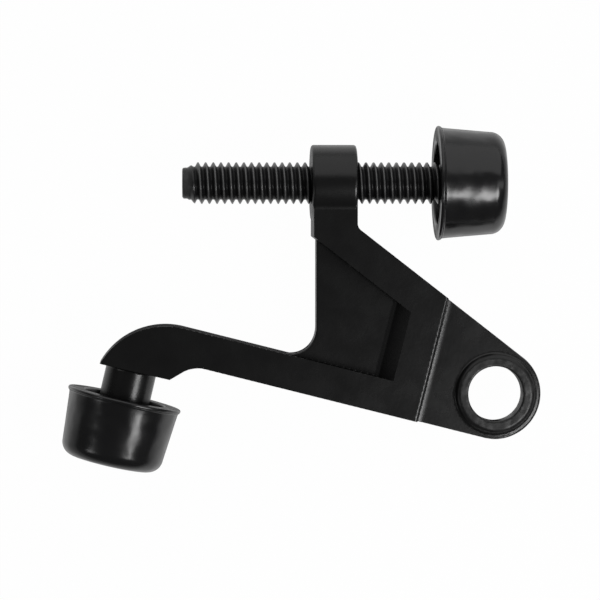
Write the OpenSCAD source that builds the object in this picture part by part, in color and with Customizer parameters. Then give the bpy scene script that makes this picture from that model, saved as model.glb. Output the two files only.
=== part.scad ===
// Hinge pin door stop: a cast bracket that hangs on a door's hinge pin, an adjusting rod
// screwed through its boss, and two rubber tips. The origin is the centre of the hinge pin's
// hole. +Z is along the hinge pin, +X along the rod towards its tip, and +Y from the hole's
// side towards the rod. All lengths are in millimetres.

/* [Eye] */
// Diameter of the hole for the hinge pin
pin_hole_d = 10.2; // [9.6:0.1:11.4]
// Outer radius of the eye
eye_r = 8.45; // [8.1:0.05:10]
// Thickness of the plate around the eye
eye_plate_t = 3.2; // [2.4:0.1:5]
// Outer radius of the raised ring, at its foot
ring_r = 7.5; // [6.8:0.05:8]
// Height of the raised ring above the plate
ring_h = 0.8; // [0.4:0.05:1.2]
// How much smaller in radius the raised ring is at its top
ring_draft = 0.4; // [0:0.05:0.6]

/* [Body] */
// Thickness of the body, the neck and the arm
body_t = 11; // [9:0.25:12]
// Thickness of the sunk web
web_t = 4.4; // [2.5:0.1:6]
// Slope of the bar that runs from the eye up to the neck, in degrees
diagonal_angle = 37.9; // [34:0.1:42]
// Width of that bar
diagonal_w = 6.3; // [5:0.1:8]
// Distance from the pin hole's centre to the top of the step above the eye plate
step_s = 13.2; // [11:0.05:15]
// Length of the step's slope
step_slope = 0.5; // [0.3:0.05:2]
// Radius at the foot of the step
step_foot_r = 0.5; // [0.5:0.05:1.5]
// Distance from the pin hole's centre to the solid side of the web's pocket
pocket_s = 19.35; // [17:0.05:24]
// Length of the slope between the web and the solid side
pocket_slope = 2.85; // [1.5:0.05:3.5]
// Distance from the pin hole's centre to the web's free edge, along X
web_edge_x = 33.3; // [31:0.1:35]
// Radius between the web's free edge and the arm
web_corner_r = 5; // [2:0.1:6]

/* [Boss and rod] */
// Distance from the pin hole's centre to the rod's axis, along Y
rod_y = 39; // [36:0.1:42]
// Distance from the pin hole's centre to the middle of the boss, along X
boss_x = 30.03; // [28.5:0.01:31.5]
// Length of the boss along the rod
boss_l = 8.35; // [7:0.05:10]
// Outer radius of the boss
boss_r = 7.05; // [6.6:0.05:9]
// Chamfer on the boss's two rims
boss_chamfer = 0.4; // [0.1:0.05:0.8]
// How far the boss stands past the neck on the arm's side
boss_overhang = 0.3; // [0:0.05:1]
// Radius in the corner between the neck and the diagonal bar
neck_corner_r = 1.4; // [1:0.1:6]
// Outer diameter of the rod's thread
thread_d = 7.7; // [7:0.05:8]
// Diameter at the root of the thread
thread_root_d = 6.1; // [5.6:0.05:6.4]
// Pitch of the thread
thread_pitch = 1.4111; // [1.2:0.01:1.6]
// Plain end of the rod, from the end to the first turn
rod_lead = 1.3; // [0.8:0.1:2.5]
// How far the rod reaches past the boss's middle at its free end
rod_reach = 27.92; // [20:0.01:34]

/* [Arm] */
// Slope of the arm, in degrees
arm_angle = 14.2; // [10:0.1:18]
// Width of the arm
arm_w = 6.3; // [5:0.1:8]
// Distance from the pin hole's centre to the start of the arm's rounded end
arm_end_s = 58.95; // [54:0.1:64]
// Radius of the arm's rounded end
arm_end_r = 14; // [11:0.1:16]
// Angle of the post from the Y axis, in degrees
post_angle = 13.2; // [8:0.2:18]
// Radius of the post
post_r = 4.7; // [4:0.05:5.5]
// Distance from the start of the rounded end to the post, along the arm
post_offset = 7.5; // [4:0.05:11]
// How far the arm's end face lies under the arm's lower edge, at the post
end_drop = 3.6; // [2.5:0.05:4.5]
// Distance along the end face from the post's axis to the heel
heel_l = 7.2; // [6:0.1:8]
// Slope of the heel's back, in degrees
heel_angle = 30; // [20:1:40]
// Radius between the heel and the arm's lower edge
heel_r = 5; // [2:0.25:7]
// Distance from the arm's end face to the lower tip's rim
post_gap = 5.3; // [4:0.05:8]

/* [Tips] */
// Length of a rubber tip
tip_l = 12.5; // [11.5:0.1:15]
// Radius of the thin lip at a tip's rim
lip_r = 10.6; // [10.4:0.05:12]
// Thickness of the lip
lip_t = 0.7; // [0.4:0.05:1.2]
// Radius of a tip just past its lip
tip_r = 10.25; // [9.4:0.05:10.3]
// How much smaller in radius a tip is at its face
tip_taper = 1; // [0.5:0.05:2]
// Radius of the edge around a tip's face
tip_edge_r = 2.6; // [1.5:0.1:4]
// Thickness of the rubber wall around a tip's mouth
tip_wall = 2.65; // [1.8:0.05:3.5]
// Depth of a tip's mouth
mouth_l = 6; // [4:0.1:7]
// Thickness of the rubber that holds the head
hold_t = 1.6; // [1:0.1:2.5]
// Distance from the boss's middle to the upper tip's rim
rod_tip_gap = 19.14; // [17:0.01:26]
// How much smaller in radius the hidden head is than the mouth
head_step = 1.6; // [1:0.1:2.5]
// Thickness of the hidden head
head_t = 2; // [1.5:0.1:2.4]
// Radius of the neck under the hidden head
neck_r = 3; // [2.4:0.05:3]

/* [Hidden] */
$fn = 96;
// Running clearance around the rod, the necks and the heads, on the radius
fit_gap = 0.05;
// Gap that the heads and shoulders keep at each side of the rubber, along their axis
end_gap = 0.1;
// How far cuts and joined solids run past each other's faces
overrun = 1;
// Steps in each rounded corner and in the larger arcs
corner_steps = 8;
arc_steps = 24;
// Radius of small sharp corners of the casting
small_r = 0.4;
// Widths of the thread's crest and of a tip's rounded lip, as shares of the pitch and the lip
crest_share = 0.125;
lip_edge_share = 0.3;
// Rod's end diameter as a share of its root diameter
rod_end_share = 0.95;
// Far reach of the shapes that only limit others
far = arm_end_s + arm_end_r + post_gap + tip_l;

half_t = body_t / 2;
half_plate = eye_plate_t / 2;
half_web = web_t / 2;
ring_top_z = half_plate + ring_h;
boss_right_x = boss_l / 2 - boss_x;
boss_left_x = -boss_x - boss_l / 2;
neck_left_x = boss_left_x + boss_overhang;
rim_x = rod_tip_gap - boss_x;
rod_left_x = -boss_x - rod_reach;
thread_r = thread_d / 2;
root_r = thread_root_d / 2;
mouth_r = tip_r - tip_wall;
head_r = mouth_r - head_step;
floor_l = mouth_l + hold_t;
head_end_l = floor_l + head_t + 2 * end_gap;

// Directions: along the arm away from the eye, and outwards from the edges
along_arm = [-cos(arm_angle), sin(arm_angle)];
out_low = [-sin(arm_angle), -cos(arm_angle)];
out_diagonal = [sin(diagonal_angle), cos(diagonal_angle)];
out_right = [1, 0];
post_dir = [-sin(post_angle), -cos(post_angle)];
post_side = [cos(post_angle), -sin(post_angle)];

// Point where two lines meet, each given by its normal and its distance from the origin
function meet(n1, d1, n2, d2) =
    let (k = n1[0] * n2[1] - n1[1] * n2[0])
    [(d1 * n2[1] - d2 * n1[1]) / k, (n1[0] * d2 - n2[0] * d1) / k];

function unit(v) = v / norm(v);

// Points of the arc of radius r that rounds the corner b between a and c
function rounded(a, b, c, r, steps = corner_steps) =
    let (u = unit(a - b), w = unit(c - b), half = acos(u * w) / 2,
         centre = b + unit(u + w) * r / sin(half),
         p = b + u * r / tan(half) - centre, q = b + w * r / tan(half) - centre,
         start = atan2(p[1], p[0]), turn = atan2(p[0] * q[1] - p[1] * q[0], p * q))
    [for (i = [0:steps]) centre + r * [cos(start + turn * i / steps),
                                       sin(start + turn * i / steps)]];

function arc(centre, r, from, to, steps = arc_steps) =
    [for (i = [0:steps]) centre + r * [cos(from + (to - from) * i / steps),
                                       sin(from + (to - from) * i / steps)]];

// The arm's end: its face is square to the post, and the rounded end runs into it
upper_d = eye_r - arm_w;
post_s = arm_end_s + post_offset;
post_foot = along_arm * post_s + out_low * (eye_r + end_drop);
end_centre = along_arm * arm_end_s + out_low * (upper_d + arm_end_r);
end_offset = post_foot - end_centre;
end_t = -(end_offset * post_side) - sqrt(pow(end_offset * post_side, 2) - end_offset * end_offset
        + pow(arm_end_r, 2));
toe = post_foot + post_side * end_t;
heel = post_foot + post_side * heel_l;
heel_out = [sin(heel_angle), -cos(heel_angle)];
heel_top = meet(out_low, eye_r, heel_out, heel_out * heel);
toe_angle = atan2(toe[1] - end_centre[1], toe[0] - end_centre[0]);

neck_foot = meet(out_right, boss_right_x, out_diagonal, eye_r);
eye_low = out_low * eye_r;
eye_high = out_diagonal * eye_r;
inner_d = eye_r - diagonal_w;
pocket_top = meet(-out_right, -neck_left_x, out_diagonal, inner_d);
pocket_far = meet(-along_arm, -pocket_s, out_diagonal, inner_d);
pocket_low = meet(-along_arm, -pocket_s, out_low, upper_d);
pocket_open = along_arm * arm_end_s + out_low * upper_d;

// Outline of all that has the body's full thickness, and of the eye
function frame_outline() = concat(
    arc([0, 0], eye_r, -90 - arm_angle, 90 - diagonal_angle),
    rounded(eye_high, neck_foot, [boss_right_x, rod_y], neck_corner_r),
    [[boss_right_x, rod_y], [neck_left_x, rod_y]],
    rounded([neck_left_x, rod_y], pocket_top, pocket_far, small_r),
    rounded(pocket_top, pocket_far, pocket_low, 2 * small_r),
    [pocket_low],
    arc(end_centre, arm_end_r, 90 - arm_angle, toe_angle),
    rounded(toe, heel, heel_top, small_r),
    rounded(heel, heel_top, eye_low, heel_r));

web_corner = meet(-out_right, web_edge_x, out_low, upper_d);
web_top = meet(-out_right, web_edge_x, out_diagonal, inner_d);

// Outline of the thin web, which reaches into the bars around it
function web_outline() = concat(
    rounded(web_top, web_corner, pocket_open, web_corner_r),
    [web_corner + along_arm * web_corner_r + out_low * arm_w / 2,
     pocket_low + out_low * arm_w / 2,
     pocket_far - along_arm * diagonal_w / 2,
     pocket_far + out_diagonal * diagonal_w / 2,
     web_top + out_diagonal * diagonal_w / 2]);

// Prism of a side profile, given along the arm and along Z, across the whole bracket
module across_arm() {
    rotate([0, 0, -arm_angle]) rotate([90, 0, 0])
        linear_extrude(height = 2 * far, center = true) children();
}

// Side profile of the bracket: the full thickness, the step, and the thin eye plate
module step_profile() {
    top = rounded([-far, half_t], [-step_s, half_t], [step_slope - step_s, half_plate], small_r);
    foot = rounded([-step_s, half_t], [step_slope - step_s, half_plate], [far, half_plate],
                   step_foot_r);
    upper = concat([[-far, half_t]], top, foot, [[far, half_plate]]);
    polygon(concat(upper, [for (i = [len(upper) - 1:-1:0]) [upper[i][0], -upper[i][1]]]));
}

// Slope that rises from the web to the solid side of the pocket, with a little of each joined
module pocket_ramp() {
    foot_s = -pocket_s - pocket_slope;
    back_s = small_r - pocket_s;
    sunk_z = half_web - small_r;
    intersection() {
        across_arm() polygon([[foot_s, sunk_z], [foot_s, half_web], [-pocket_s, half_t],
                              [back_s, half_t], [back_s, sunk_z]]);
        linear_extrude(height = half_t)
            polygon([meet(-along_arm, back_s, out_low, upper_d + small_r),
                     meet(-along_arm, back_s, out_diagonal, inner_d + small_r),
                     meet(-along_arm, foot_s, out_diagonal, inner_d + small_r),
                     meet(-along_arm, foot_s, out_low, upper_d + small_r)]);
    }
}

// Places a thing that points along +Z on the rod's axis, or on the post's axis
module on_rod(x) {
    translate([x, rod_y, 0]) rotate([0, 90, 0]) children();
}

module on_post(l) {
    translate([post_foot[0] + post_dir[0] * l, post_foot[1] + post_dir[1] * l, 0])
        rotate([0, 0, -post_angle]) rotate([90, 0, 0]) children();
}

// Neck and flat head that hold a tip, from the shoulder at the bottom of its mouth
module tip_holder() {
    translate([0, 0, -overrun]) cylinder(r = neck_r, h = overrun + hold_t + 3 * end_gap);
    translate([0, 0, hold_t + 2 * end_gap]) cylinder(r = head_r, h = head_t);
}

module eye_ring() {
    cylinder(r = ring_r, h = half_plate);
    translate([0, 0, half_plate]) cylinder(r1 = ring_r, r2 = ring_r - ring_draft, h = ring_h);
}

module boss() {
    on_rod(boss_left_x) rotate_extrude()
        polygon([[0, 0], [boss_r - boss_chamfer, 0], [boss_r, boss_chamfer],
                 [boss_r, boss_l - boss_chamfer], [boss_r - boss_chamfer, boss_l], [0, boss_l]]);
}

module bracket() {
    color([0.03, 0.03, 0.03]) difference() {
        union() {
            intersection() {
                linear_extrude(height = body_t, center = true) polygon(frame_outline());
                across_arm() step_profile();
            }
            linear_extrude(height = web_t, center = true) polygon(web_outline());
            pocket_ramp();
            mirror([0, 0, 1]) pocket_ramp();
            eye_ring();
            mirror([0, 0, 1]) eye_ring();
            boss();
            on_post(-overrun) cylinder(r = post_r, h = overrun + post_gap + mouth_l - end_gap);
            on_post(post_gap + mouth_l - end_gap) tip_holder();
        }
        translate([0, 0, -ring_top_z - overrun])
            cylinder(d = pin_hole_d, h = 2 * (ring_top_z + overrun));
        on_rod(boss_left_x - overrun) cylinder(r = thread_r + fit_gap, h = boss_l + 2 * overrun);
    }
}

// One turn of the thread's section: radius and place along the rod
function turn_section(z) =
    let (crest = crest_share * thread_pitch, flank = (thread_r - root_r) * tan(30))
    [[root_r, z], [thread_r, z + flank], [thread_r, z + flank + crest],
     [root_r, z + 2 * flank + crest]];

module threaded_rod() {
    shoulder = rim_x + mouth_l - end_gap - rod_left_x;
    turns = floor((shoulder - rod_lead) / thread_pitch);
    end_r = root_r * rod_end_share;
    lead = [[0, 0], [end_r - small_r, 0], [end_r, small_r], [end_r, rod_lead / 2]];
    thread = [for (i = [0:turns - 1]) each turn_section(rod_lead + i * thread_pitch)];
    color([0.05, 0.05, 0.05]) on_rod(rod_left_x) {
        rotate_extrude() polygon(concat(lead, thread, [[root_r, shoulder], [0, shoulder]]));
        translate([0, 0, shoulder]) tip_holder();
    }
}

// Rubber tip. Its rim is at zero, and it points along +Z.
module tip() {
    side_top = [tip_r - tip_taper, tip_l];
    edge = rounded([tip_r, lip_t], side_top, [0, tip_l], tip_edge_r);
    round_r = lip_t * lip_edge_share;
    lip = concat(rounded([mouth_r, 0], [lip_r, 0], [lip_r, lip_t], round_r),
                 rounded([lip_r, 0], [lip_r, lip_t], [0, lip_t], round_r));
    color([0.04, 0.04, 0.045]) rotate_extrude()
        polygon(concat([[mouth_r, 0]], lip, [[tip_r, lip_t]], edge,
                       [[0, tip_l], [0, head_end_l], [head_r + fit_gap, head_end_l],
                        [head_r + fit_gap, floor_l], [neck_r + fit_gap, floor_l],
                        [neck_r + fit_gap, mouth_l], [mouth_r, mouth_l]]));
}

module rod_tip() {
    on_rod(rim_x) tip();
}

module arm_tip() {
    on_post(post_gap) tip();
}

bracket();
threaded_rod();
rod_tip();
arm_tip();
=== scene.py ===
"""Hinge pin door stop: soft cast bracket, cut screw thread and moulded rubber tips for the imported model."""

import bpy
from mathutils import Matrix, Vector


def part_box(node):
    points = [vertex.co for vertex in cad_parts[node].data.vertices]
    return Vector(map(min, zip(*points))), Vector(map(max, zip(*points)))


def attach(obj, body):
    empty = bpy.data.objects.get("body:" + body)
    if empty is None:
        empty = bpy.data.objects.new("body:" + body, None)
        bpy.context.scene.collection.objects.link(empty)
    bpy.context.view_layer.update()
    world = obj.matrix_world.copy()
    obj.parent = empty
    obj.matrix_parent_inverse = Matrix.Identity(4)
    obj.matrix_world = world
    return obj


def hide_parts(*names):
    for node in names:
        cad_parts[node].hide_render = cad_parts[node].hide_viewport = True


bl_info = {
    "name": "Hinge Pin Door Stop",
    "version": (1, 0, 0),
    "blender": (4, 5, 0),
    "location": "3D View > Sidebar > Door Stop",
    "description": "Builds the pieces, finishes and studio of a hinge pin door stop",
    "category": "Object",
}

import bmesh
import bpy
import numpy as np
from bpy.props import FloatProperty, FloatVectorProperty, PointerProperty
from mathutils import Matrix, Vector

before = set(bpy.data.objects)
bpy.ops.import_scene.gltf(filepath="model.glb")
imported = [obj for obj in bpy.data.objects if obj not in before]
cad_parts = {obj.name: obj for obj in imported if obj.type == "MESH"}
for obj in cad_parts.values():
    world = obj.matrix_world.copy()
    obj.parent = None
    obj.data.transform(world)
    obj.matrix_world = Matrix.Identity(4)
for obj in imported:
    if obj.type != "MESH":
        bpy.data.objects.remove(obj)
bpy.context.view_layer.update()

MM = 0.001
Z_UP = np.array([0.0, 0.0, 1.0])
ROD_DIRECTION = np.array([1.0, 0.0, 0.0])
# Pull of a skin's vertex to the middle of its crossings, against the planes that cross there
PLANE_DAMPING = 0.05
# Least squared steepness that a step onto the skin divides by
LEAST_STEEPNESS = 0.1
# How far into a face the normal of its corner is read, and the turn from which an edge is drawn as sharp
SIDE_SHARE = 0.3
SHARP_TURN = np.radians(15)
# Points of a turned piece closer than this, in metres, are merged
MERGE_REACH = 1e-7

# Places that come from the frame, in millimetres
EYE_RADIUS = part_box("bracket")[1].x / MM
BOSS_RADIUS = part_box("bracket")[1].z / MM
ROD_AXIS_Y = (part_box("rod_tip")[0].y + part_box("rod_tip")[1].y) / 2 / MM
ROD_TIP_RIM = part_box("rod_tip")[0].x / MM
TIP_LENGTH = (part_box("rod_tip")[1].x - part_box("rod_tip")[0].x) / MM
LIP_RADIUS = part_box("rod_tip")[1].z / MM
ROD_LEFT_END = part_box("threaded_rod")[0].x / MM


def length(name, description, millimetres):
    """A length property, stored in metres."""
    return FloatProperty(
        name=name,
        description=description,
        default=millimetres * MM,
        unit="LENGTH",
        subtype="DISTANCE",
        precision=5,
    )


def slope(name, description, degrees):
    """An angle property, stored in radians."""
    return FloatProperty(
        name=name, description=description, default=np.radians(degrees), unit="ROTATION", subtype="ANGLE"
    )


def share(name, description, value, most=1.0):
    """A plain number from zero up."""
    return FloatProperty(name=name, description=description, default=value, min=0.0, max=most)


def colour(name, description, value):
    """A linear colour property."""
    return FloatVectorProperty(
        name=name, description=description, default=value, size=3, subtype="COLOR", min=0.0, max=1.0
    )


def in_millimetres(settings, plain=()):
    """A group's settings by name: lengths in millimetres, and the plain ones as they are."""
    return {key: getattr(settings, key) / (1 if key in plain else MM) for key in settings.__annotations__}


class BracketSizes(bpy.types.PropertyGroup):
    """Sizes of the cast bracket."""

    eye_radius: length("Eye radius", "Outer radius of the eye", EYE_RADIUS)
    pin_hole: length("Pin hole", "Diameter of the hole for the hinge pin", 10.2)
    eye_edge: length("Eye edge", "Radius of the eye's outer edge at its far side", 0.5)
    eye_plate: length("Eye plate", "Thickness of the plate around the eye", 3.2)
    ring_radius: length("Ring radius", "Outer radius of the raised ring at its foot", 7.5)
    ring_height: length("Ring height", "Height of the raised ring above the plate", 0.8)
    ring_draft: length("Ring draft", "How much smaller in radius the ring is at its top", 0.5)
    ring_edge: length("Ring edge", "Radius of the raised ring's outer edge", 0.5)
    body_thickness: length("Body", "Thickness of the body, the neck and the arm", 11)
    web_thickness: length("Web", "Thickness of the sunk web", 4.4)
    diagonal_slope: slope("Diagonal slope", "Slope of the bar from the eye to the neck", 37.9)
    diagonal_width: length("Diagonal width", "Width of that bar", 6.3)
    step_place: length("Step", "Distance from the hole's centre to the top of the step", 13.2)
    step_slope: length("Step slope", "Length of the step's slope", 0.4)
    step_edge: length("Step edge", "Radius along the top of the step", 0.5)
    step_foot: length("Step foot", "Radius in the corner between the step and its toe", 0.1)
    toe_length: length("Toe", "Width of the shallow hollow between the step and the eye plate", 1.05)
    toe_radius: length("Toe radius", "Radius of that hollow, seen from the side", 5.0)
    pocket_place: length("Pocket side", "Distance from the hole's centre to the pocket's solid side", 19.35)
    pocket_slope: length("Pocket slope", "Length of the slope on that side", 2.85)
    pocket_corner: length("Pocket corner", "Radius in the pocket's corners", 0.8)
    web_edge: length("Web edge", "Distance from the hole's centre to the web's free edge, along X", 33.3)
    web_corner: length("Web corner", "Radius between the web's free edge and the arm", 5)
    boss_middle: length("Boss middle", "Distance from the hole's centre to the boss, along X", 30.03)
    boss_length: length("Boss length", "Length of the boss along the rod", 8.35)
    boss_radius: length("Boss radius", "Outer radius of the boss", BOSS_RADIUS)
    boss_rim: length("Boss rim", "Radius of the boss's two rims", 0.5)
    boss_overhang: length("Boss overhang", "How far the boss stands past the neck", 0.3)
    neck_corner: length("Neck corner", "Radius between the neck and the diagonal bar", 1.4)
    rod_hole: length("Rod hole", "Diameter of the hole for the rod", 7.8)
    arm_slope: slope("Arm slope", "Slope of the arm", 14.2)
    arm_width: length("Arm width", "Width of the arm", 6.3)
    arm_end_place: length("Arm end", "Distance from the hole's centre to the arm's rounded end", 58.95)
    arm_end_radius: length("Arm end radius", "Radius of the arm's rounded end", 14)
    post_slope: slope("Post slope", "Angle of the post from the Y axis", 13.2)
    post_radius: length("Post radius", "Radius of the post", 4.7)
    post_offset: length("Post place", "Distance along the arm from its rounded end to the post", 7.5)
    end_drop: length("End drop", "How far the end face lies under the arm's lower edge", 3.6)
    heel_length: length("Heel", "Distance along the end face from the post's axis to the heel", 7.2)
    heel_slope: slope("Heel slope", "Slope of the heel's back", 30)
    heel_radius: length("Heel radius", "Radius between the heel and the arm", 5)
    post_gap: length("Post gap", "Distance from the end face to the lower tip's rim", 5.3)
    cast_edge: length("Cast edge", "Radius of the casting's outer edges", 0.0)
    cast_fillet: length("Cast fillet", "Radius in the casting's inner corners", 0.35)
    pocket_edge: length("Pocket edge", "Radius of the edges around the pocket", 0.0)
    pocket_fillet: length("Pocket fillet", "Radius between the pocket's walls and its web", 0.0)
    pocket_soft: length("Pocket softness", "Band in which the pocket's slope runs into the web", 0.4)
    fine_edge: length("Fine edge", "Radius of the edges of the ring, the holes and the boss's foot", 0.28)
    cell: length("Cell", "Size of the grid that the casting's skin is drawn on", 0.28)


class RodSizes(bpy.types.PropertyGroup):
    """Sizes of the adjusting rod."""

    thread: length("Thread", "Outer diameter of the thread", 7.7)
    root: length("Root", "Diameter at the root of the thread", 6.1)
    pitch: length("Pitch", "Pitch of the thread", 1.4111)
    crest: share("Crest", "Width of the thread's crest as a share of the pitch", 0.125)
    lead: length("Lead", "Plain stretch at the free end", 0.95)
    lead_run: length("Lead run", "Stretch over which the first turn rises", 1.5)
    lead_radius: length("Lead radius", "Radius of the plain stretch", 2.87)
    end_edge: length("End edge", "Radius of the free end's edge", 0.4)


class TipSizes(bpy.types.PropertyGroup):
    """Sizes of the two rubber tips."""

    tip_length: length("Length", "Length of a tip", TIP_LENGTH)
    lip_radius: length("Lip radius", "Radius of the thin lip at the rim", LIP_RADIUS)
    lip_thickness: length("Lip", "Thickness of the lip", 0.7)
    body_radius: length("Body radius", "Radius just past the lip", 10.25)
    taper: length("Taper", "How much smaller in radius the tip is at its face", 1)
    face_edge: length("Face edge", "Radius of the edge around the face", 2.6)
    wall: length("Wall", "Thickness of the rubber wall around the mouth", 2.65)
    mouth_depth: length("Mouth depth", "Depth of the mouth", 6)
    mouth_edge: length("Mouth edge", "Radius of the mouth's edge", 0.3)
    hold: length("Hold", "Thickness of the rubber that holds the head", 1.6)
    head_step: length("Head step", "How much smaller in radius the head is than the mouth", 1.6)
    head_thickness: length("Head", "Thickness of the head", 2)
    neck_radius: length("Neck", "Radius of the neck under the head", 3)
    fit_gap: length("Fit gap", "Clearance around the neck and head", 0.05)
    end_gap: length("End gap", "Clearance at each side of the rubber, along the axis", 0.1)


class Finishes(bpy.types.PropertyGroup):
    """Colours and gloss of the three materials."""

    casting: colour("Casting", "Colour of the coat on the casting", (0.0058, 0.0058, 0.0059))
    casting_roughness: share("Casting roughness", "Mean roughness of the coat", 0.26)
    worn_depth: length("Worn depth", "Depth of the unevenness on the worn ring", 0.15)
    steel: colour("Steel", "Colour of the blackened steel", (0.010, 0.010, 0.0105))
    bare_steel: colour("Bare steel", "Colour of the steel where the oxide is rubbed off", (0.1, 0.1, 0.1))
    steel_roughness: share("Steel roughness", "Mean roughness of the steel", 0.3)
    rubber: colour("Rubber", "Colour of the rubber", (0.008, 0.008, 0.0085))
    rubber_roughness: share("Rubber roughness", "Mean roughness of the rubber", 0.22)
    floor: colour("Floor", "Colour of the floor", (0.86, 0.86, 0.86))


class StudioSizes(bpy.types.PropertyGroup):
    """The camera's place and the strength of the lights."""

    view_distance: length("View distance", "Distance from the camera to the plane of the rod's axis", 539.4)
    key_light: share("Key light", "Brightness of the softbox at the lower right", 9.8, 100.0)
    side_light: share("Side light", "Brightness of the small softbox at the left", 2.2, 100.0)
    edge_light: share("Edge light", "Brightness of the strip at the right", 1.2, 100.0)
    back_light: share("Back light", "Brightness of the tall panel behind the rod", 0.7, 100.0)
    room_light: share("Room light", "Brightness of the room", 0.085, 10.0)
    floor_white: share("Floor white", "Share of plain white that the camera sees in the floor", 0.985)
    floor_mirrored: share("Floor mirrored", "Share of plain white that reflections see near the object", 0.64)
    floor_far: share("Floor far", "Share of plain white that reflections see far from the object", 0.06)
    sheet_inner: length("Sheet inner", "Distance from the target where the mirrored white starts to fall", 62)
    sheet_outer: length("Sheet outer", "Distance from the target where the fall ends", 100)


# Distance fields: negative inside, zero at the skin, in millimetres


def joined(a, b, radius):
    """Union with a fillet: the lesser field, less the overlap of the bands of the radius around the corner."""
    overlap = np.hypot(np.maximum(radius - a, 0), np.maximum(radius - b, 0))
    return np.maximum(radius, np.minimum(a, b)) - overlap


def common(a, b, radius):
    """Intersection with a rounded edge: the greater field, plus the overlap of the bands inside the corner."""
    overlap = np.hypot(np.maximum(radius + a, 0), np.maximum(radius + b, 0))
    return np.minimum(-radius, np.maximum(a, b)) + overlap


def band(radius, normal_a, normal_b):
    """Band that makes joined() round the corner of two planes as an arc of this radius would: the arc's tangent
    length, which is the radius times the tangent of half the turn, seen across the other plane."""
    turn = np.arccos(np.clip(np.dot(normal_a, normal_b), -1, 1))
    return radius * np.tan(turn / 2) * np.sin(turn)


def direction(angle_from_y, sign_x, sign_y):
    """Unit vector in the XY plane, by its angle from the Y axis."""
    return np.array([sign_x * np.sin(angle_from_y), sign_y * np.cos(angle_from_y)])


def across(x, y, normal, origin=(0.0, 0.0)):
    """Distance from the line through an origin, along the line's normal."""
    return (x - origin[0]) * normal[0] + (y - origin[1]) * normal[1]


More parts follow.
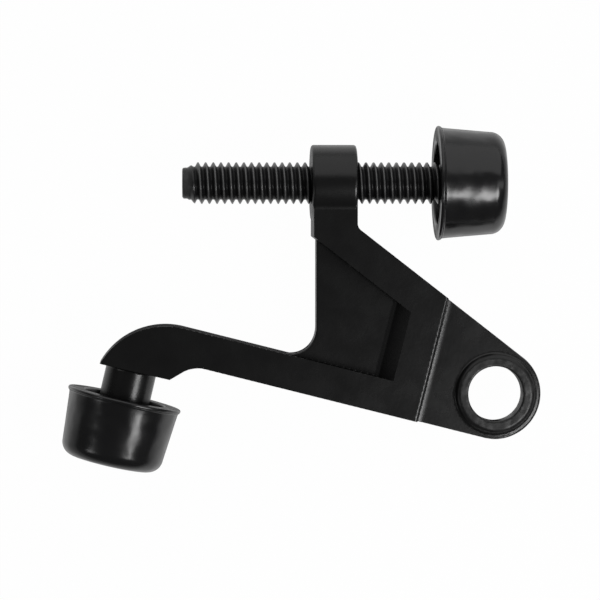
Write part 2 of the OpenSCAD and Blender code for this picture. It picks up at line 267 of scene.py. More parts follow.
class CastingShape:
    """The bracket's skin as a distance field of a point's three coordinates."""

    angles = ("diagonal_slope", "arm_slope", "post_slope", "heel_slope")

    def __init__(self, sizes, tips):
        vars(self).update(in_millimetres(sizes, self.angles))
        self.tips = in_millimetres(tips)
        self.out_low = direction(self.arm_slope, -1, -1)
        self.along = np.array([-np.cos(self.arm_slope), np.sin(self.arm_slope)])
        self.out_diagonal = direction(self.diagonal_slope, 1, 1)
        self.post_dir = direction(self.post_slope, -1, -1)
        self.post_side = np.array([np.cos(self.post_slope), -np.sin(self.post_slope)])
        self.upper = self.eye_radius - self.arm_width
        self.inner = self.eye_radius - self.diagonal_width
        self.boss_right = self.boss_length / 2 - self.boss_middle
        self.neck_left = -self.boss_length / 2 - self.boss_middle + self.boss_overhang
        self.post_foot = self.along * (self.arm_end_place + self.post_offset) + self.out_low * (
            self.eye_radius + self.end_drop
        )
        self.end_centre = self.along * self.arm_end_place + self.out_low * (self.upper + self.arm_end_radius)
        self.heel = self.post_foot + self.post_side * self.heel_length
        self.heel_out = direction(self.heel_slope, 1, -1)
        self.tip_rim = self.post_foot + self.post_dir * self.post_gap
        towards_eye = self.out_low + self.out_diagonal
        self.right_of_eye = towards_eye / np.linalg.norm(towards_eye)
        self.eye_tangent = self.out_low * self.eye_radius

    def arm_top(self, x, y, s):
        """Height above the arm: a straight edge that runs into the arc of the rounded end."""
        straight = self.upper - across(x, y, self.out_low)
        rounded = np.hypot(x - self.end_centre[0], y - self.end_centre[1]) - self.arm_end_radius
        return np.where(s < self.arm_end_place, straight, rounded)

    def outline(self, x, y):
        """The plan: lower edge with heel and end face, diagonal with the neck's right wall, and the eye's disc."""
        low = across(x, y, self.out_low) - self.eye_radius
        heel = across(x, y, self.heel_out, self.heel)
        face = across(x, y, self.post_dir, self.post_foot)
        diagonal = across(x, y, self.out_diagonal) - self.eye_radius
        heel_band = band(self.heel_radius, self.out_low, self.heel_out)
        neck_band = band(self.neck_corner, self.out_diagonal, ROD_DIRECTION[:2])
        lower = common(joined(low, heel, heel_band), face, self.cast_edge)
        right = joined(diagonal, x - self.boss_right, neck_band)
        bars = np.maximum(np.maximum(lower, right), y - ROD_AXIS_Y)
        left_part = np.maximum(bars, across(x, y, self.right_of_eye, self.eye_tangent))
        return np.minimum(np.hypot(x, y) - self.eye_radius, left_part)

    def sloped(self, past, height, plate, run):
        """Slope from the full thickness down to a thinner plate: how far a point is past its top edge, and the
        length over which it falls."""
        fall = (self.body_thickness - plate) / 2
        return (past * fall + (height - self.body_thickness / 2) * run) / np.hypot(fall, run)

    def thickness(self, s, height):
        """Full thickness, the step's slope, the hollow of its toe and the eye plate, from the side."""
        slope_face = self.sloped(self.step_place - s, height, self.eye_plate, self.step_slope)
        block = common(height - self.body_thickness / 2, slope_face, self.step_edge)
        into_toe = s - (self.step_place - self.step_slope - self.toe_length)
        above = height - self.eye_plate / 2
        hollow = self.toe_radius - np.hypot(into_toe, above - self.toe_radius)
        toe = np.maximum(hollow, into_toe - self.toe_length - 2 * self.step_slope)
        return joined(block, np.where(into_toe > 0, toe, above), self.step_foot)

    def bay(self, x, y, s, height):
        """The room between arm, diagonal and neck, less the web and the slope that runs softly into it."""
        solid_side = self.sloped(s - self.pocket_place, height, self.web_thickness, self.pocket_slope)
        under_diagonal = across(x, y, self.out_diagonal) - self.inner
        beside = joined(under_diagonal, x - self.neck_left, self.cast_edge)
        room = common(-self.arm_top(x, y, s), beside, self.pocket_corner)
        kept = joined(solid_side, self.web(x, y, s, height), self.pocket_soft)
        return common(room, -kept, self.pocket_fillet)

    def web(self, x, y, s, height):
        """Thin plate with a free edge beside the neck, rounded into the arm, that reaches into the bars."""
        corner_band = band(self.web_corner, -ROD_DIRECTION[:2], -self.out_low)
        free = joined(-self.web_edge - x, self.arm_top(x, y, s), corner_band)
        diagonal = across(x, y, self.out_diagonal) - self.inner - self.diagonal_width / 2
        low = across(x, y, self.out_low) - self.upper - self.arm_width / 2
        ends = np.maximum(self.pocket_place - self.diagonal_width / 2 - s, s - self.arm_end_place)
        plan = np.maximum(np.maximum(free, ends), np.maximum(diagonal, low))
        return common(plan, height - self.web_thickness / 2, self.fine_edge)

    def post(self, x, y, z):
        """Cylinder square to the end face, with the neck and flat head that hold the tip."""
        ahead = across(x, y, self.post_dir, self.post_foot)
        radius = np.hypot(across(x, y, self.post_side, self.post_foot), z)
        tips = self.tips
        shoulder = self.post_gap + tips["mouth_depth"] - tips["end_gap"]
        head = shoulder + tips["hold"] + 2 * tips["end_gap"]
        head_radius = tips["body_radius"] - tips["wall"] - tips["head_step"]
        head_ends = np.maximum(head - ahead, ahead - head - tips["head_thickness"])
        shaft = common(radius - self.post_radius, ahead - shoulder, self.fine_edge)
        neck = np.maximum(radius - tips["neck_radius"], ahead - head - self.fine_edge)
        disc = common(radius - head_radius, head_ends, self.fine_edge)
        return np.maximum(np.minimum(np.minimum(shaft, neck), disc), -2 * self.cast_fillet - ahead)

    def __call__(self, x, y, z):
        """The whole casting: bars cut by the bay, with web, ring, boss and post joined on and the holes cut out.
        From the pin's axis to half the eye's radius along X, the outer edge grows to the eye's rounding."""
        s = across(x, y, self.along)
        height = np.abs(z)
        far_side = np.clip(x / self.eye_radius * 2, 0, 1)
        edge = self.cast_edge + (self.eye_edge - self.cast_edge) * far_side
        body = common(self.outline(x, y), self.thickness(s, height), edge)
        body = common(body, -self.bay(x, y, s, height), self.pocket_edge)
        ring_top = self.eye_plate / 2 + self.ring_height
        above_plate = np.maximum(height - self.eye_plate / 2, 0)
        ring_side = self.ring_radius - self.ring_draft * above_plate / self.ring_height
        from_pin = np.hypot(x, y)
        body = joined(body, common(from_pin - ring_side, height - ring_top, self.ring_edge), self.fine_edge)
        from_rod = np.hypot(y - ROD_AXIS_Y, z)
        boss_ends = np.abs(x + self.boss_middle) - self.boss_length / 2
        boss = common(from_rod - self.boss_radius, boss_ends, self.boss_rim)
        clear_of_face = np.maximum(body, x - self.boss_right + 2 * self.fine_edge)
        body = np.minimum(np.minimum(body, boss), joined(clear_of_face, boss, self.fine_edge))
        body = joined(body, self.post(x, y, z), self.cast_fillet)
        body = common(body, self.pin_hole / 2 - from_pin, self.fine_edge)
        near_rod = y > ROD_AXIS_Y - 2 * self.boss_radius
        rod_room = np.where(near_rod, self.rod_hole / 2 - from_rod, -self.boss_radius)
        return common(body, rod_room, self.fine_edge)


def unit(vectors, tiny=1e-9):
    """Rows brought to length one."""
    return vectors / np.maximum(np.linalg.norm(vectors, axis=1, keepdims=True), tiny)


def slope_of(field, points, reach=0.004):
    """Gradient of a field by central differences over a small reach."""
    columns = []
    for axis in np.eye(3):
        ahead, behind = points + axis * reach, points - axis * reach
        columns.append((field(*ahead.T) - field(*behind.T)) / (2 * reach))
    return np.stack(columns, axis=1)


def skin(field, low, high, cell, rounds=3):
    """Zero level of a field as quads: one vertex in each grid cell that the level crosses, where the planes at
    its edges' crossings meet best, so that it lies on an edge of the shape and not beside it. It is then moved
    onto the level along the gradient."""
    counts = np.ceil((high - low) / cell).astype(int) + 1
    axes = [low[i] + cell * np.arange(counts[i]) for i in range(3)]
    value = field(axes[0][:, None, None], axes[1][None, :, None], axes[2][None, None, :])
    crossings, rings = [], []
    for axis in range(3):
        u, v = (axis + 1) % 3, (axis + 2) % 3
        a = value[tuple(slice(0, -1) if k == axis else slice(1, -1) for k in range(3))]
        b = value[tuple(slice(1, None) if k == axis else slice(1, -1) for k in range(3))]
        at = np.argwhere((a < 0) != (b < 0))
        a, b = a[tuple(at.T)], b[tuple(at.T)]
        at[:, [u, v]] += 1
        crossing = at.astype(float)
        crossing[:, axis] += a / (a - b)
        crossings.append(low + cell * crossing)
        ring = []
        for du, dv in ((-1, -1), (0, -1), (0, 0), (-1, 0)):
            place = at.copy()
            place[:, u] += du
            place[:, v] += dv
            ring.append(np.ravel_multi_index(place.T, counts))
        ring = np.stack(ring, axis=1)
        rings.append(np.where((a < 0)[:, None], ring, ring[:, ::-1]))
    cells, owner = np.unique(np.concatenate(rings), return_inverse=True)
    quads = owner.reshape(-1, 4)
    owner = quads.ravel()
    crossings = np.concatenate(crossings)
    planes = np.repeat(unit(slope_of(field, crossings)), 4, axis=0)
    crossings = np.repeat(crossings, 4, axis=0)

    def gathered(numbers):
        return np.bincount(owner, numbers)

    met = gathered(np.ones(len(owner)))
    middle = np.stack([gathered(crossings[:, k]) / met for k in range(3)], axis=1)
    away = (planes * (crossings - middle[owner])).sum(1)
    matrix = np.stack([gathered(planes[:, i] * planes[:, j]) for i in range(3) for j in range(3)], axis=1)
    matrix = matrix.reshape(-1, 3, 3) + PLANE_DAMPING * np.eye(3)
    aim = np.stack([gathered(planes[:, k] * away) for k in range(3)], axis=1)
    corner = low + cell * np.stack(np.unravel_index(cells, counts), axis=1)
    points = np.clip(middle + np.linalg.solve(matrix, aim[..., None])[..., 0], corner, corner + cell)
    for _ in range(rounds):
        gradient = slope_of(field, points)
        steepness = np.maximum((gradient**2).sum(1), LEAST_STEEPNESS)
        move = -field(*points.T)[:, None] * gradient / steepness[:, None]
        points += np.clip(move, -cell / 2, cell / 2)
    return points, quads


def corner_normals(field, mesh):
    """Normals of a mesh's face corners from the field: those of the vertices where the skin is smooth, and
    those just inside the face where the vertex lies on a sharp edge."""
    vertices = np.empty(len(mesh.vertices) * 3)
    mesh.vertices.foreach_get("co", vertices)
    vertices = vertices.reshape(-1, 3) / MM
    owner = np.empty(len(mesh.loops), dtype=int)
    mesh.loops.foreach_get("vertex_index", owner)
    sides = np.empty(len(mesh.polygons), dtype=int)
    mesh.polygons.foreach_get("loop_total", sides)
    face = np.repeat(np.arange(len(sides)), sides)
    centre = np.stack([np.bincount(face, vertices[owner, k]) / sides for k in range(3)], axis=1)[face]
    smooth = unit(slope_of(field, vertices))[owner]
    beside = unit(slope_of(field, vertices[owner] + SIDE_SHARE * (centre - vertices[owner])))
    sharp = (smooth * beside).sum(1) < np.cos(SHARP_TURN)
    return np.where(sharp[:, None], beside, smooth)


def turned(profile, origin, axis, steps):
    """A profile of (radius, distance along the axis) carried round an axis in the XY plane: the grid of radius
    times (cosine, sine) across the axis. A profile that starts or ends on the axis is closed by merging."""
    side = np.cross(Z_UP, axis)
    angle = 2 * np.pi * np.arange(steps) / steps
    radius, along = np.array(profile).T
    out = np.cos(angle)[:, None] * side + np.sin(angle)[:, None] * Z_UP
    grid = origin + along[:, None, None] * axis + radius[:, None, None] * out[None]
    rows = np.arange(len(profile))[:-1, None] * steps
    here, there = np.arange(steps), np.roll(np.arange(steps), -1)
    quads = np.stack([rows + here, rows + there, rows + steps + there, rows + steps + here], axis=-1)
    return grid.reshape(-1, 3), quads.reshape(-1, 4)


def arc(centre, radius, start, end, steps):
    """Points of a circular arc in a profile, angles in degrees from the radius direction."""
    angle = np.radians(np.linspace(start, end, steps + 1))
    return np.stack([centre[0] + radius * np.cos(angle), centre[1] + radius * np.sin(angle)], axis=1)


def placed(name, data):
    """A new object in the scene."""
    item = bpy.data.objects.new(name, data)
    bpy.context.scene.collection.objects.link(item)
    return item


def mesh_piece(name, points, faces, body, node, material, field=None):
    """A new piece from points in millimetres, that rides on a body and stands for a CAD node. Its corner normals
    come from the field, if one is given."""
    mesh = bpy.data.meshes.new(name)
    mesh.from_pydata((points * MM).tolist(), [], faces.tolist())
    mesh.validate()
    if field is None:
        work = bmesh.new()
        work.from_mesh(mesh)
        bmesh.ops.remove_doubles(work, verts=work.verts, dist=MERGE_REACH)
        bmesh.ops.dissolve_degenerate(work, edges=work.edges, dist=MERGE_REACH)
        bmesh.ops.recalc_face_normals(work, faces=work.faces)
        work.to_mesh(mesh)
        work.free()
    mesh.shade_smooth()
    if field is not None:
        mesh.normals_split_custom_set(corner_normals(field, mesh).tolist())
    mesh.materials.append(material)
    piece = placed(name, mesh)
    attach(piece, body)
    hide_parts(node)
    return piece


# Finishes


# Facing values, 0 square on and 1 edge-on, between which mirroring falls to the grazing level
EDGE_ON = (0.76, 0.91)
# The coat's mirroring square on, on the pocket's slope, where it is cut as painted shade, edge-on, and edge-on at walls
# that face +Y, where it is cut as painted shade for the shadowed floor that they mirror
COAT_LEVEL, SHADED_SLOPE_LEVEL, COAT_GRAZING, SHADED_WALL_GRAZING = 0.5, 0.24, 0.012, 0.0001
# Ranges of the normal's Y for those walls, and of the normal's X and of the place along X for the slope
SHADED_WALL_TURN, SHADED_SLOPE_TURN, SHADED_SLOPE_PLACE = (0.2, 0.8), (-0.68, -0.5), (-40 * MM, -25 * MM)
# Distances from the eye's edge, in millimetres, between which the ring's wear fades out
WEAR_FROM, WEAR_TO = 1.7, 0.8
# Radii of the thread, in millimetres, between which crests turn bare, and between which the roots lose their cut in
# mirroring, which is partly their oxide and partly painted shade
CREST_RADII, ROOT_OXIDE_AND_SHADE_RADII = (3.68, 3.84), (3.05, 3.6)
# Mirroring left in the roots, partly oxide and partly painted shade, and bareness of the free end
ROOT_OXIDE_AND_SHADE_LEVEL, LEAD_BARENESS = 0.25, 0.5


def surface_group():
    """Node group of a coated or moulded skin: fine grain and slow waves as a normal, and gloss that drifts
    between two values. It is built once and placed in each material."""
    name = "Skin Relief"
    group = bpy.data.node_groups.get(name)
    if group:
        return group
    group = bpy.data.node_groups.new(name, "ShaderNodeTree")
    face = group.interface
    for label, value in (
        ("Grain Scale", 1800.0),
        ("Grain Depth", 0.00001),
        ("Wave Scale", 160.0),
        ("Wave Depth", 0.00003),
        ("Least Roughness", 0.25),
        ("Most Roughness", 0.4),
    ):
        socket = face.new_socket(label, in_out="INPUT", socket_type="NodeSocketFloat")
        socket.default_value = value
    face.new_socket("Roughness", in_out="OUTPUT", socket_type="NodeSocketFloat")
    face.new_socket("Normal", in_out="OUTPUT", socket_type="NodeSocketVector")
    face.new_socket("Drift", in_out="OUTPUT", socket_type="NodeSocketFloat")
    nodes, link = group.nodes, group.links.new
    given, out = nodes.new("NodeGroupInput"), nodes.new("NodeGroupOutput")
    place = nodes.new("ShaderNodeTexCoord")
    grain, wave, drift = (nodes.new("ShaderNodeTexNoise") for _ in range(3))
    for noise, scale in ((grain, "Grain Scale"), (wave, "Wave Scale"), (drift, "Wave Scale")):
        link(place.outputs["Object"], noise.inputs["Vector"])
        link(given.outputs[scale], noise.inputs["Scale"])
    grain.inputs["Detail"].default_value = 3.0
    wave.inputs["Detail"].default_value = 1.0
    drift.inputs["Detail"].default_value = 4.0
    drift.inputs["Distortion"].default_value = 0.4
    slow, fine = nodes.new("ShaderNodeBump"), nodes.new("ShaderNodeBump")
    for bump, depth, noise in ((slow, "Wave Depth", wave), (fine, "Grain Depth", grain)):
        link(given.outputs[depth], bump.inputs["Distance"])
        link(noise.outputs["Fac"], bump.inputs["Height"])
    link(slow.outputs["Normal"], fine.inputs["Normal"])
    spread = nodes.new("ShaderNodeMapRange")
    spread.inputs["From Min"].default_value = 0.3
    spread.inputs["From Max"].default_value = 0.7
    link(drift.outputs["Fac"], spread.inputs["Value"])
    link(given.outputs["Least Roughness"], spread.inputs["To Min"])
    link(given.outputs["Most Roughness"], spread.inputs["To Max"])
    link(spread.outputs["Result"], out.inputs["Roughness"])
    link(fine.outputs["Normal"], out.inputs["Normal"])
    link(drift.outputs["Fac"], out.inputs["Drift"])
    return group


def worn_mask(nodes, link):
    """One on the ring around the pin's hole, where the coat is worn and uneven. It fades out at the eye's
    edge."""
    place, away, mask = (nodes.new(f"ShaderNode{kind}") for kind in ("TexCoord", "VectorMath", "MapRange"))
    flat = nodes.new("ShaderNodeVectorMath")
    flat.operation, away.operation = "MULTIPLY", "LENGTH"
    flat.inputs[1].default_value = (1, 1, 0)
    link(place.outputs["Object"], flat.inputs[0])
    link(flat.outputs["Vector"], away.inputs[0])
    link(away.outputs["Value"], mask.inputs["Value"])
    mask.inputs["From Min"].default_value = (EYE_RADIUS - WEAR_FROM) * MM
    mask.inputs["From Max"].default_value = (EYE_RADIUS - WEAR_TO) * MM
    mask.inputs["To Min"].default_value = 1.0
    mask.inputs["To Max"].default_value = 0.0
    return mask.outputs["Result"]


def finish_material(name, base, values, specular, grazing):
    """Dark dielectric whose colour, roughness and normal drift by the skin relief group. Its mirroring falls to
    the grazing level where it is seen edge-on, because a coarse skin hides its own highlights there."""
    material = bpy.data.materials.new(name)
    material.use_nodes = True
    nodes, link = material.node_tree.nodes, material.node_tree.links.new
    shader = nodes["Principled BSDF"]
    relief = nodes.new("ShaderNodeGroup")
    relief.name = "Relief"
    relief.node_tree = surface_group()
    for label, value in values.items():
        relief.inputs[label].default_value = value
    tone = nodes.new("ShaderNodeMix")
    tone.data_type = "RGBA"
    tone.inputs["A"].default_value = (*(0.9 * c for c in base), 1)
    tone.inputs["B"].default_value = (*(1.1 * c for c in base), 1)
    link(relief.outputs["Drift"], tone.inputs["Factor"])
    link(tone.outputs["Result"], shader.inputs["Base Color"])
    link(relief.outputs["Roughness"], shader.inputs["Roughness"])
    link(relief.outputs["Normal"], shader.inputs["Normal"])
    facing, level = nodes.new("ShaderNodeLayerWeight"), nodes.new("ShaderNodeMapRange")
    level.name = "Mirroring"
    facing.inputs["Blend"].default_value = 0.5
    level.interpolation_type = "SMOOTHSTEP"
    level.inputs["From Min"].default_value, level.inputs["From Max"].default_value = EDGE_ON
    level.inputs["To Min"].default_value = specular
    level.inputs["To Max"].default_value = grazing
    link(facing.outputs["Facing"], level.inputs["Value"])
    link(level.outputs["Result"], shader.inputs["Specular IOR Level"])
    return material


def ramp(nodes, link, value, low, high, start=0.0, end=1.0):
    """Smooth change from one number, or socket, to another while a value runs from low to high."""
    change = nodes.new("ShaderNodeMapRange")
    change.interpolation_type = "SMOOTHSTEP"
    link(value, change.inputs["Value"])
    for label, number in (("From Min", low), ("From Max", high), ("To Min", start), ("To Max", end)):
        if isinstance(number, bpy.types.NodeSocket):
            link(number, change.inputs[label])
        else:
            change.inputs[label].default_value = number
    return change.outputs["Result"]


def casting_material(finishes):
    """Satin black coat on a die casting, with orange peel, and uneven where the ring is worn. Two effects are fitted to
    the photo and are painted shade: walls that face +Y mirror less edge-on, for the floor beside them that lies in the
    object's own shadow, and the slope at the pocket's end mirrors less, for the shade in the pocket."""
    mean = finishes.casting_roughness
    least, most, wave_scale, wave_depth = mean - 0.02, mean + 0.03, 220.0, 0.00003
    material = finish_material(
        "Satin Black Coat", finishes.casting, {"Grain Scale": 1500.0, "Grain Depth": 0.000012}, COAT_LEVEL, COAT_GRAZING
    )
    nodes, link = material.node_tree.nodes, material.node_tree.links.new
    relief, level = nodes["Relief"], nodes["Mirroring"]
    mask = worn_mask(nodes, link)
    for label, plain, worn in (
        ("Wave Scale", wave_scale, 420.0),
        ("Wave Depth", wave_depth, finishes.worn_depth),
        ("Least Roughness", least, mean),
        ("Most Roughness", most, mean + 0.26),
    ):
        link(ramp(nodes, link, mask, 0.0, 1.0, plain, worn), relief.inputs[label])
    geometry, split = nodes.new("ShaderNodeNewGeometry"), nodes.new("ShaderNodeSeparateXYZ")
    link(geometry.outputs["Normal"], split.inputs["Vector"])
    # Painted shade: walls that face +Y mirror less edge-on, for the floor beside them in the object's shadow
    link(ramp(nodes, link, split.outputs["Y"], *SHADED_WALL_TURN, COAT_GRAZING, SHADED_WALL_GRAZING), level.inputs["To Max"])
    place, where = nodes.new("ShaderNodeTexCoord"), nodes.new("ShaderNodeSeparateXYZ")
    link(place.outputs["Object"], where.inputs["Vector"])
    # Painted shade: the slope at the pocket's end mirrors less, for the shade in the pocket
    pocket = ramp(nodes, link, where.outputs["X"], *SHADED_SLOPE_PLACE, COAT_LEVEL, SHADED_SLOPE_LEVEL)
    link(ramp(nodes, link, split.outputs["X"], *SHADED_SLOPE_TURN, pocket, COAT_LEVEL), level.inputs["To Min"])
    return material


def steel_material(finishes):
    """Black oxide on a cut thread: the crests and the free end are rubbed bare, and the roots mirror less, partly for
    their oxide and partly as painted shade.
    """
    mean = finishes.steel_roughness
    material = finish_material(
        "Black Oxide",
        finishes.steel,
        {
            "Grain Scale": 2600.0,
            "Grain Depth": 0.00001,
            "Wave Scale": 500.0,
            "Wave Depth": 0.00002,
            "Least Roughness": mean - 0.08,
            "Most Roughness": mean + 0.1,
        },
        0.6,
        0.3,
    )
    nodes, link = material.node_tree.nodes, material.node_tree.links.new
    shader = nodes["Principled BSDF"]
    kinds = ("TexCoord", "SeparateXYZ", "CombineXYZ")
    place, split, flat = (nodes.new(f"ShaderNode{kind}") for kind in kinds)
    away = nodes.new("ShaderNodeVectorMath")
    away.operation = "DISTANCE"
    away.inputs[1].default_value = (0, ROD_AXIS_Y * MM, 0)
    link(place.outputs["Object"], split.inputs["Vector"])
    link(split.outputs["Y"], flat.inputs["Y"])
    link(split.outputs["Z"], flat.inputs["Z"])
    link(flat.outputs["Vector"], away.inputs[0])
    radius = away.outputs["Value"]
    crest = ramp(nodes, link, radius, *(r * MM for r in CREST_RADII))
    lead = ramp(nodes, link, split.outputs["X"], (ROD_LEFT_END + 1) * MM, (ROD_LEFT_END + 2.2) * MM, LEAD_BARENESS, 0.0)
    bare = nodes.new("ShaderNodeMath")
    bare.operation = "MAXIMUM"
    link(crest, bare.inputs[0])
    link(lead, bare.inputs[1])
    rubbed = nodes.new("ShaderNodeMix")
    rubbed.data_type = "RGBA"
    rubbed.inputs["B"].default_value = (*finishes.bare_steel, 1)
    link(shader.inputs["Base Color"].links[0].from_socket, rubbed.inputs["A"])
    link(bare.outputs["Value"], rubbed.inputs["Factor"])
    link(rubbed.outputs["Result"], shader.inputs["Base Color"])
    # Painted shade with the oxide: the mirroring falls in the thread's roots
    oxide_and_shade = nodes.new("ShaderNodeMath")
    oxide_and_shade.operation = "MULTIPLY"
    link(shader.inputs["Specular IOR Level"].links[0].from_socket, oxide_and_shade.inputs[0])
    roots = ramp(nodes, link, radius, *(r * MM for r in ROOT_OXIDE_AND_SHADE_RADII), ROOT_OXIDE_AND_SHADE_LEVEL, 1.0)
    link(roots, oxide_and_shade.inputs[1])
    link(oxide_and_shade.outputs["Value"], shader.inputs["Specular IOR Level"])
    return material


def rubber_material(finishes):
    """Glossy moulded black rubber, slightly wavy."""
    mean = finishes.rubber_roughness
    return finish_material(
        "Moulded Black Rubber",
        finishes.rubber,
        {
            "Grain Scale": 900.0,
            "Grain Depth": 0.000004,
            "Wave Scale": 240.0,
            "Wave Depth": 0.0002,
            "Least Roughness": mean - 0.05,
            "Most Roughness": mean + 0.06,
        },
        0.6,
        0.003,
    )


class DOORSTOP_OT_bracket(bpy.types.Operator):
    """Build the cast bracket"""

    bl_idname = "door_stop.bracket"
    bl_label = "Cast Bracket"

    def execute(self, context):
        """The casting is the zero level of its distance field."""
        stop = context.scene.door_stop
        shape = CastingShape(stop.bracket, stop.tips)
        low, high = (np.array(corner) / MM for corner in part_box("bracket"))
        margin = 1.5 * shape.cell
        points, quads = skin(shape, low - margin, high + margin, shape.cell)
        material = casting_material(stop.finishes)
        mesh_piece(
            "bracket_casting", points, quads, "bracket_body", "bracket", material, shape
        )
        return {"FINISHED"}


class DOORSTOP_OT_rod(bpy.types.Operator):
    """Build the adjusting rod with its cut thread"""

    bl_idname = "door_stop.rod"
    bl_label = "Adjusting Rod"

    around = 72
    # Half the thread's angle in degrees, the softness of its edges in millimetres, and how far, in that measure,
    # the section lies under the crest beside it and at its rim
    half_angle = 30
    soft = 0.05
    beside_crest = 1.4
    crest_rim = 0.3

    def execute(self, context):
        """The thread is a sheared grid: one turn's section, moved a pitch along for each turn round, held
        between the rod's ends and under an envelope that fades the first and last turns."""
        stop = context.scene.door_stop
        size = in_millimetres(stop.rod, ("crest",))
        tip = in_millimetres(stop.tips)
        pitch, crest_r, root_r = size["pitch"], size["thread"] / 2, size["root"] / 2
        crest = size["crest"] * pitch
        flank = (crest_r - root_r) * np.tan(np.radians(self.half_angle))
        soft = self.soft
        beside_r, rim_r = crest_r - self.beside_crest * soft, crest_r - self.crest_rim * soft
        section = np.array(
            [
                [-soft, root_r],
                [soft, root_r + soft],
                [flank - soft, beside_r],
                [flank, rim_r],
                [flank + crest / 2, crest_r],
                [flank + crest, rim_r],
                [flank + crest + soft, beside_r],
                [2 * flank + crest - soft, root_r + soft],
                [2 * flank + crest + soft, root_r],
            ]
        )
        shoulder = ROD_TIP_RIM + tip["mouth_depth"] - tip["end_gap"] - ROD_LEFT_END
        turns = np.arange(-2, int(shoulder / pitch) + 2)
        rows = (turns[:, None] * pitch + section[None, :, 0] + size["lead"]).ravel()
        radii = np.tile(section[:, 1], len(turns))
        turn_share = np.arange(self.around + 1) / self.around
        along = np.clip(rows[:, None] + pitch * turn_share[None], 0, shoulder)
        rise = (along - size["lead"]) / size["lead_run"]
        envelope = size["lead_radius"] + np.clip(rise, 0, 1) * (crest_r - size["lead_radius"])
        end_edge = size["end_edge"]
        into_edge = np.clip((end_edge - along) / end_edge, 0, 1)
        envelope -= end_edge * (1 - np.sqrt(1 - into_edge**2))
        envelope = np.minimum(envelope, root_r + np.maximum(shoulder - along, 0))
        radius = np.minimum(np.broadcast_to(radii[:, None], along.shape), envelope)
        angle = 2 * np.pi * turn_share
        grid = np.stack(
            [
                ROD_LEFT_END + along,
                ROD_AXIS_Y + radius * np.cos(angle),
                radius * np.sin(angle),
            ],
            axis=-1,
        )
        width = self.around + 1
        corner = np.arange(len(rows) - 1)[:, None] * width + np.arange(self.around)
        quads = np.stack([corner, corner + 1, corner + width + 1, corner + width], axis=-1).reshape(-1, 4)
        head_radius = tip["body_radius"] - tip["wall"] - tip["head_step"]
        head = shoulder + tip["hold"] + 2 * tip["end_gap"]
        edge = tip["neck_radius"] / 10
        holder = [
            [root_r, shoulder],
            [tip["neck_radius"], shoulder],
            [tip["neck_radius"], head],
            *arc((head_radius - edge, head + edge), edge, -90, 0, 4),
            *arc((head_radius - edge, head + tip["head_thickness"] - edge), edge, 0, 90, 4),
            [0, head + tip["head_thickness"]],
        ]
        origin = np.array([ROD_LEFT_END, ROD_AXIS_Y, 0.0])
        # The turned parts start at +Y, as the thread's grid does
        head_points, head_quads = turned(holder, origin, ROD_DIRECTION, self.around)
        end_face = [[0, 0], [size["lead_radius"] - end_edge, 0]]
        end_points, end_quads = turned(end_face, origin, ROD_DIRECTION, self.around)
        points = np.concatenate([grid.reshape(-1, 3), head_points, end_points])
        faces = np.concatenate(
            [quads, head_quads + grid.size // 3, end_quads + grid.size // 3 + len(head_points)]
        )
        material = steel_material(stop.finishes)
        mesh_piece("adjusting_rod", points, faces, "rod_body", "threaded_rod", material)
        return {"FINISHED"}


class DOORSTOP_OT_tips(bpy.types.Operator):
    """Build the two rubber tips"""

    bl_idname = "door_stop.tips"
    bl_label = "Rubber Tips"

    around = 128
    # Distances past the lip of the rings along the side, and radius in the mouth's inner corner, in millimetres
    side_rings = (8, 6, 4, 2, 1)
    room_edge = 0.5
    # The lip's thickness over the radius of its edges
    lip_part = 2.2

    def execute(self, context):
        """Both tips are one profile turned about the rod's axis and about the post's axis."""
        stop = context.scene.door_stop
        size = in_millimetres(stop.tips)
        mouth = size["body_radius"] - size["wall"]
        head = mouth - size["head_step"] + size["fit_gap"]
        neck = size["neck_radius"] + size["fit_gap"]
        floor = size["mouth_depth"] + size["hold"]
        head_end = floor + size["head_thickness"] + 2 * size["end_gap"]
        lip, lip_edge = size["lip_radius"], size["lip_thickness"] / self.lip_part
        tip_length, edge, room = size["tip_length"], size["face_edge"], self.room_edge
        lean = size["taper"] / (tip_length - size["lip_thickness"])
        face_r = size["body_radius"] - size["taper"]
        outer = arc((face_r - edge + lean * edge, tip_length - edge), edge, 90, 3, 18)
        side = [[size["body_radius"] - lean * t, size["lip_thickness"] + t] for t in self.side_rings]
        lip_foot = arc(
            (size["body_radius"] + lip_edge, size["lip_thickness"] + lip_edge), lip_edge, 180, 250, 4
        )
        profile = np.array(
            [
                [0, tip_length],
                [face_r / 3, tip_length],
                [face_r / 1.5, tip_length],
                *outer,
                *side,
                *lip_foot,
                *arc((lip - lip_edge, size["lip_thickness"] - lip_edge), lip_edge, 80, 0, 6),
                *arc((lip - lip_edge, lip_edge), lip_edge, 0, -90, 6),
                *arc((mouth + size["mouth_edge"], size["mouth_edge"]), size["mouth_edge"], -90, -180, 6),
                [mouth, size["mouth_depth"] / 2],
                *arc((mouth - room, size["mouth_depth"] - room), room, 0, 90, 5),
                [neck, size["mouth_depth"]],
                [neck, floor],
                [head, floor],
                [head, head_end],
                [0, head_end],
            ]
        )
        shape = CastingShape(stop.bracket, stop.tips)
        material = rubber_material(stop.finishes)
        rod_origin = np.array([ROD_TIP_RIM, ROD_AXIS_Y, 0.0])
        arm_origin = np.array([*shape.tip_rim, 0.0])
        for name, origin, axis, body, node in (
            ("rod_bumper", rod_origin, ROD_DIRECTION, "tip_body", "rod_tip"),
            ("arm_bumper", arm_origin, np.array([*shape.post_dir, 0.0]), "bracket_body", "arm_tip"),
        ):
            points, quads = turned(profile, origin, axis, self.around)
            mesh_piece(name, points, quads, body, node, material)
        return {"FINISHED"}


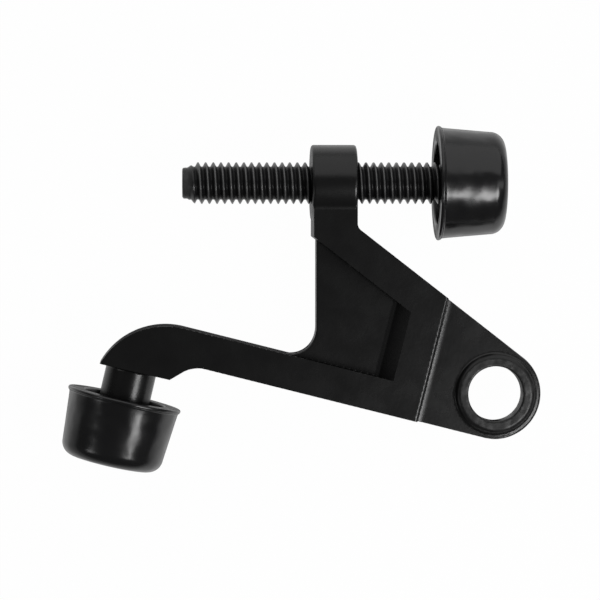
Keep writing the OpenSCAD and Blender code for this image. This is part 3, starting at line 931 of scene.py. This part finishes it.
class DOORSTOP_OT_stage(bpy.types.Operator):
    """Build the floor, the lights and the camera"""

    bl_idname = "door_stop.stage"
    bl_label = "Studio"

    # Camera target, its lean from the Z axis, and the focal length and sensor in mm
    target = (-36.2, 17.39, 0.0)
    lean = (-0.0507, 0.038, 1.0)
    lens = 174.9
    sensor = 36.0
    floor_half_width = 1500.0
    floor_gap = 0.2
    floor_roughness = 0.6
    lamps = (
        ("Key Softbox", (91.0, -68.0, 215.0), (-20.0, 15.0, 0.0), (90.0, 85.0), "key_light"),
        ("Side Softbox", (-274.0, -76.0, 141.0), (-70.0, -10.0, 0.0), (70.0, 80.0), "side_light"),
        ("Edge Strip", (230.0, 20.0, 215.0), (-20.0, 20.0, 0.0), (60.0, 300.0), "edge_light"),
        ("Back Panel", (-20.0, 597.0, 375.0), (-20.0, 72.0, 28.5), (1600.0, 900.0), "back_light"),
    )

    def add_floor(self, stop):
        """A wide plane just under the tips, near white, that shows plain white by Light Path."""
        half, level = self.floor_half_width, -LIP_RADIUS - self.floor_gap
        corners = np.array([[i * half, j * half, level] for i, j in ((-1, -1), (1, -1), (1, 1), (-1, 1))])
        mesh = bpy.data.meshes.new("floor")
        mesh.from_pydata((corners * MM).tolist(), [], [(0, 1, 2, 3)])
        floor = placed("floor", mesh)
        material = bpy.data.materials.new("White Floor")
        material.use_nodes = True
        nodes, link = material.node_tree.nodes, material.node_tree.links.new
        shader, out = nodes["Principled BSDF"], nodes["Material Output"]
        shader.inputs["Base Color"].default_value = (*stop.finishes.floor, 1)
        shader.inputs["Roughness"].default_value = self.floor_roughness
        white, blend, path = (nodes.new(f"ShaderNode{kind}") for kind in ("Emission", "MixShader", "LightPath"))
        seen = self.seen_rays(nodes, link, path, stop.studio)
        link(seen, blend.inputs["Fac"])
        link(shader.outputs["BSDF"], blend.inputs[1])
        link(white.outputs["Emission"], blend.inputs[2])
        link(blend.outputs["Shader"], out.inputs["Surface"])
        mesh.materials.append(material)

    def seen_rays(self, nodes, link, path, studio):
        """Camera rays times their share, plus glossy and transmission rays times a share that falls with the
        distance from the object, as on a sheet of white paper in a dark room."""
        rays, direct, total, fall = (nodes.new("ShaderNodeMath") for _ in range(4))
        rays.operation, rays.use_clamp = "ADD", True
        direct.operation, total.operation, fall.operation = "MULTIPLY", "MULTIPLY_ADD", "MULTIPLY"
        link(path.outputs["Is Glossy Ray"], rays.inputs[0])
        link(path.outputs["Is Transmission Ray"], rays.inputs[1])
        place, away = nodes.new("ShaderNodeTexCoord"), nodes.new("ShaderNodeVectorMath")
        away.operation = "DISTANCE"
        away.inputs[1].default_value = [c * MM for c in self.target[:2]] + [-LIP_RADIUS * MM]
        link(place.outputs["Object"], away.inputs[0])
        sheet = nodes.new("ShaderNodeMapRange")
        sheet.interpolation_type = "SMOOTHSTEP"
        sheet.inputs["From Min"].default_value = studio.sheet_inner
        sheet.inputs["From Max"].default_value = studio.sheet_outer
        sheet.inputs["To Min"].default_value = studio.floor_mirrored
        sheet.inputs["To Max"].default_value = studio.floor_far
        link(away.outputs["Value"], sheet.inputs["Value"])
        link(rays.outputs["Value"], fall.inputs[0])
        link(sheet.outputs["Result"], fall.inputs[1])
        link(path.outputs["Is Camera Ray"], direct.inputs[0])
        direct.inputs[1].default_value = studio.floor_white
        link(direct.outputs["Value"], total.inputs[0])
        total.inputs[1].default_value = 1.0
        link(fall.outputs["Value"], total.inputs[2])
        return total.outputs["Value"]

    def add_lamps(self, stop):
        """Rectangular softboxes of a given brightness, each turned to its target."""
        for name, place, aim, size, level in self.lamps:
            lamp = bpy.data.lights.new(name, "AREA")
            lamp.shape = "RECTANGLE"
            lamp.size, lamp.size_y = (edge * MM for edge in size)
            lamp.energy = np.pi * lamp.size * lamp.size_y * getattr(stop.studio, level)
            holder = placed(name, lamp)
            holder.location = Vector(place) * MM
            holder.rotation_euler = (Vector(aim) - Vector(place)).to_track_quat("-Z", "Y").to_euler()

    def add_room(self, stop):
        """A dim even room around the object."""
        world = bpy.data.worlds.new("Studio Room")
        world.use_nodes = True
        back = world.node_tree.nodes["Background"]
        back.inputs["Color"].default_value = (1, 1, 1, 1)
        back.inputs["Strength"].default_value = stop.studio.room_light
        bpy.context.scene.world = world

    def add_camera(self, stop):
        """A long lens above the object, slightly to the left and above, with the frame's up along Y."""
        camera = bpy.data.cameras.new("View")
        camera.lens = self.lens
        camera.sensor_width = self.sensor
        camera.sensor_fit = "HORIZONTAL"
        holder = placed("View", camera)
        back = Vector(self.lean).normalized()
        right = Vector((0, 1, 0)).cross(back).normalized()
        up = back.cross(right)
        turn = Matrix((right, up, back)).transposed().to_4x4()
        place = Vector(self.target) * MM + back * stop.studio.view_distance
        holder.matrix_world = Matrix.Translation(place) @ turn
        bpy.context.scene.camera = holder

    def execute(self, context):
        stop = context.scene.door_stop
        self.add_floor(stop)
        self.add_lamps(stop)
        self.add_room(stop)
        self.add_camera(stop)
        context.scene.view_settings.view_transform = "Standard"
        return {"FINISHED"}


class DoorStop(bpy.types.PropertyGroup):
    """All the settings of the door stop."""

    bracket: PointerProperty(type=BracketSizes, name="Bracket", description="Sizes of the cast bracket")
    rod: PointerProperty(type=RodSizes, name="Rod", description="Sizes of the adjusting rod")
    tips: PointerProperty(type=TipSizes, name="Tips", description="Sizes of the rubber tips")
    finishes: PointerProperty(type=Finishes, name="Finishes", description="Colours and gloss")
    studio: PointerProperty(type=StudioSizes, name="Studio", description="Camera and lights")


class DOORSTOP_PT_panel(bpy.types.Panel):
    """Lists the pieces and their settings"""

    bl_idname = "DOORSTOP_PT_panel"
    bl_label = "Hinge Pin Door Stop"
    bl_space_type = "VIEW_3D"
    bl_region_type = "UI"
    bl_category = "Door Stop"

    def draw(self, context):
        stop = context.scene.door_stop
        for operator, settings in (
            (DOORSTOP_OT_bracket, stop.bracket),
            (DOORSTOP_OT_rod, stop.rod),
            (DOORSTOP_OT_tips, stop.tips),
            (DOORSTOP_OT_stage, stop.studio),
        ):
            box = self.layout.box()
            box.operator(operator.bl_idname)
            for key in settings.__annotations__:
                box.prop(settings, key)
        box = self.layout.box()
        for key in stop.finishes.__annotations__:
            box.prop(stop.finishes, key)


CLASSES = (
    BracketSizes,
    RodSizes,
    TipSizes,
    Finishes,
    StudioSizes,
    DoorStop,
    DOORSTOP_OT_bracket,
    DOORSTOP_OT_rod,
    DOORSTOP_OT_tips,
    DOORSTOP_OT_stage,
    DOORSTOP_PT_panel,
)


def register():
    for cls in CLASSES:
        bpy.utils.register_class(cls)
    bpy.types.Scene.door_stop = PointerProperty(type=DoorStop)


def unregister():
    del bpy.types.Scene.door_stop
    for cls in reversed(CLASSES):
        bpy.utils.unregister_class(cls)


def main():
    register()
    bpy.ops.door_stop.stage()
    bpy.ops.door_stop.bracket()
    bpy.ops.door_stop.rod()
    bpy.ops.door_stop.tips()


if __name__ == "__main__":
    main()
